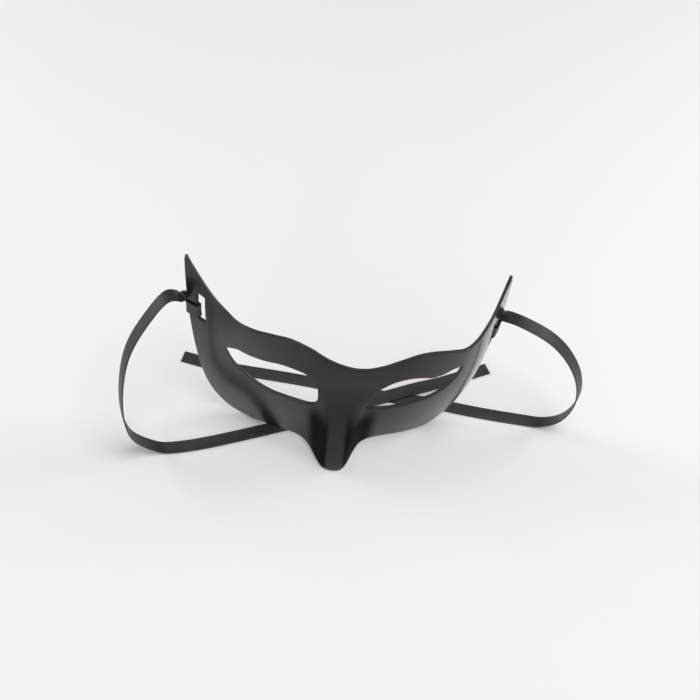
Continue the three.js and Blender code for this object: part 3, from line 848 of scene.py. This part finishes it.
def strapFrame(side):
    out, up = slotPlace(side)
    low = up - ribbon["wrapDown"] * shell["slotTall"]
    inner = out + shell["slotWide"] / 2 + (low - up) * shell["slotLean"]
    outer = rimOut(side, low)
    middle = (inner + outer) / 2
    face = faceFrame(side * middle, low)
    step = ribbon["barStep"]
    lean = step * shell["slotLean"]
    above = facePoint(side * (middle + lean), low + step)
    below = facePoint(side * (middle - lean), low - step)
    along = (above - below).normalized()
    outward = along.cross(face["normal"]).normalized()
    if outward.dot(face["out"]) * side < 0:
        outward.negate()
    loose = ribbon["wrapGap"] + ribbon["thick"] / 2
    halfBar = (outer - inner) / 2 + loose
    knot = (face["at"] + outward * (halfBar + ribbon["knotOut"]) - face["normal"] * ribbon["knotBack"]
            + along * ribbon["width"] * ribbon["knotUp"])
    return {"at": face["at"], "out": outward, "along": along, "normal": face["normal"],
            "halfBar": halfBar, "halfWall": shell["wall"] / 2 + loose, "knot": knot}


# a strip of ribbon through its stations: centre, across direction, thick direction and width share
def stripOf(bm, stations, closed=False):
    columns, rows = len(stations) - (0 if closed else 1), ribbon["across"]
    made = bmesh.ops.create_grid(bm, x_segments=columns, y_segments=rows, size=0.5)["verts"]
    left, right = min(v.co.x for v in made), max(v.co.x for v in made)
    low, high = min(v.co.y for v in made), max(v.co.y for v in made)
    track = bm.loops.layers.uv.get("ribbonTrack") or bm.loops.layers.uv.new("ribbonTrack")
    run = [0.0]
    ring = stations + ([stations[0]] if closed else [])
    for a, b in zip(ring, ring[1:]):
        run.append(run[-1] + (b["at"] - a["at"]).length)
    spots = {}
    for v in made:
        k = round((v.co.x - left) / (right - left) * columns)
        w = 2 * (v.co.y - low) / (high - low) - 1
        s = ring[k]
        spots[v] = ((w + 1) / 2 * ribbon["width"], run[k])
        wide = s["across"] * (w * ribbon["width"] / 2 * s.get("share", 1.0))
        v.co = s["at"] + wide + s["thick"] * (ribbon["cup"] * (w * w - ribbon["cupLevel"]))
    for face in {f for v in made for f in v.link_faces}:
        for loop in face.loops:
            loop[track].uv = spots[loop.vert]


def finishStrip(name, bm, matrix):
    bmesh.ops.transform(bm, matrix=Matrix.Scale(mm, 4) @ matrix, verts=bm.verts)
    piece = addObject(name, bm, [ribbonBlack])
    wall = piece.modifiers.new("cloth", "SOLIDIFY")
    wall.thickness = ribbon["thick"] * mm
    wall.offset = 0
    addEdge(piece, "selvedge", ribbon["edgeRound"], ribbon["edgeSegments"])
    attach(piece, "root")
    return piece


# the ribbon's turn round the rim bar, corner by corner
def wrapStations(strap):
    corner, steps = ribbon["wrapRound"], ribbon["wrapCornerSteps"]
    stations = []
    for u, v, start in ((1, 1, 0), (-1, 1, 90), (-1, -1, 180), (1, -1, 270)):
        for k in range(steps + 1):
            t = math.radians(start + 90 * k / steps)
            x = u * (strap["halfBar"] - corner) + corner * math.cos(t)
            y = v * (strap["halfWall"] - corner) + corner * math.sin(t)
            at = strap["at"] + strap["out"] * x + strap["normal"] * y
            thick = strap["out"] * math.cos(t) + strap["normal"] * math.sin(t)
            stations.append({"at": at, "across": strap["along"], "thick": thick})
    return stations


# one turn of the tightened knot, a narrow band round its core
def turnStations(centre, wide, high, across, turn):
    steps, radius = ribbon["turnSteps"], turn["radius"]
    stations = []
    for k in range(steps):
        t = 2 * math.pi * k / steps
        thick = (wide * math.cos(t) + high * math.sin(t)).normalized()
        at = centre + wide * (radius * math.cos(t)) + high * (radius * turn["squeeze"] * math.sin(t))
        stations.append({"at": at, "across": across, "thick": thick, "share": turn["share"]})
    return stations


def makeKnot(side):
    strap = strapFrame(side)
    name = wings[side]["name"]
    bm = bmesh.new()
    stripOf(bm, wrapStations(strap), True)
    out, along, normal = strap["out"], strap["along"], strap["normal"]
    rise, run = ribbon["knotSlope"]
    slant = (along * rise + out * run).normalized()
    level = (along * run - out * rise).normalized()
    for kind, wide, across in (("slantTurn", slant, level), ("levelTurn", level, slant),
                               ("roundTurn", out, along)):
        turn = ribbon[kind]
        centre = strap["knot"] + along * turn["shift"]
        stripOf(bm, turnStations(centre, wide, normal, across, turn), True)
    bmesh.ops.remove_doubles(bm, verts=bm.verts, dist=ribbon["merge"])
    piece = finishStrip(f"{name}_knot_tied", bm, whole)
    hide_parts(f"{name}_ribbon_knot")
    return piece, strap


# the middle line of a ribbon, from its knot to its free end
def middleLine(run, knot):
    rows = [Vector(p) * ribbon["spread"] for p in run["route"]]
    away = (rows[0] - knot).normalized()
    rows.insert(0, knot + away * ribbon["knotReach"])
    rows.insert(0, knot + away * ribbon["knotReach"] * ribbon["knotStart"])
    line = [Vector(p) for p in throughPoints([list(r) for r in rows], ribbon["steps"])]
    lowest = ribbon["thick"] / 2 + ribbon["cup"] + ribbon["lift"]
    line = [Vector((p.x, p.y, max(p.z - ribbon["sink"], lowest))) for p in line]
    for _ in range(ribbon["softening"]):
        inner = [(a + b * 2 + c) / 4 for a, b, c in zip(line, line[1:], line[2:])]
        line = [line[0], *inner, line[-1]]
    return line


def makeRibbon(side):
    knotPiece, strap = makeKnot(side)
    run = ribbonRuns[side]
    line = middleLine(run, stand @ strap["knot"])
    across = Vector(run["across"])
    stations = []
    length = 0.0
    for k, p in enumerate(line):
        tangent = (line[min(k + 1, len(line) - 1)] - line[max(k - 1, 0)]).normalized()
        wide = (across - tangent * across.dot(tangent)).normalized()
        if k:
            length += (p - line[k - 1]).length
        share = run["neck"] + (1 - run["neck"]) * smooth(length / ribbon["neckOver"])
        stations.append({"at": p, "across": wide, "thick": tangent.cross(wide), "share": share})
    bm = bmesh.new()
    stripOf(bm, stations)
    name = wings[side]["name"]
    piece = finishStrip(f"{name}_ribbon_woven", bm, centring)
    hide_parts(f"{name}_ribbon")
    path = [[c * mm for c in centring @ p] for p in line]
    print(name, "ribbon laid, mm", round(length, 1))


ribbonBlack = wovenRibbon("ribbonBlack", ribbon["width"])
for side in wings:
    makeRibbon(side)


# the studio

studio = {
    "floorColour": (0.86, 0.86, 0.86),
    "floorRough": 0.85,
    "floorReach": 6.0,
    "skyLow": 0.05,
    "skyHigh": 0.40,
    "skyFull": 0.9,
    "lamps": [
        {"name": "overheadKey", "from": (0.20, -0.16, 0.96), "far": 1.6, "size": 0.9, "power": 13.0},
        {"name": "ridgePanel", "from": (-0.30, -0.90, 0.28), "far": 0.9, "size": 0.2, "power": 0.8},
        {"name": "leftPanel", "from": (-0.83, 0.25, 0.45), "far": 0.9, "size": 0.4, "power": 2.1},
        {"name": "rightPanel", "from": (0.76, 0.27, 0.56), "far": 1.0, "size": 0.4, "power": 2.4},
    ],
}


# a dome that is bright overhead and dim along the horizon
def makeSky():
    world = bpy.data.worlds.new("studioSky")
    world.use_nodes = True
    tree = world.node_tree
    place = tree.nodes.new("ShaderNodeTexCoord")
    parts = tree.nodes.new("ShaderNodeSeparateXYZ")
    rise = tree.nodes.new("ShaderNodeMapRange")
    rise.interpolation_type = "SMOOTHSTEP"
    rise.inputs["From Min"].default_value = 0.0
    rise.inputs["From Max"].default_value = studio["skyFull"]
    rise.inputs["To Min"].default_value = studio["skyLow"]
    rise.inputs["To Max"].default_value = studio["skyHigh"]
    tree.links.new(place.outputs["Generated"], parts.inputs[0])
    tree.links.new(parts.outputs["Z"], rise.inputs["Value"])
    tree.links.new(rise.outputs[0], tree.nodes["Background"].inputs["Strength"])
    tree.nodes["Background"].inputs["Color"].default_value = (1, 1, 1, 1)
    bpy.context.scene.world = world


def makeStudio():
    bm = bmesh.new()
    bmesh.ops.create_grid(bm, x_segments=1, y_segments=1, size=studio["floorReach"])
    paper = plainSurface("studioPaper", studio["floorColour"], studio["floorRough"])
    floor = addObject("studio_floor", bm, [paper])
    makeSky()
    for lamp in studio["lamps"]:
        data = bpy.data.lights.new(lamp["name"], "AREA")
        data.shape = "DISK"
        data.size = lamp["size"]
        data.energy = lamp["power"]
        made = bpy.data.objects.new(lamp["name"], data)
        away = Vector(lamp["from"]).normalized()
        made.location = away * lamp["far"]
        made.rotation_euler = away.to_track_quat("Z", "Y").to_euler()
        bpy.context.scene.collection.objects.link(made)


bpy.context.scene.view_settings.view_transform = "Standard"
makeStudio()
print("studio lit")

bpy.context.view_layer.update()
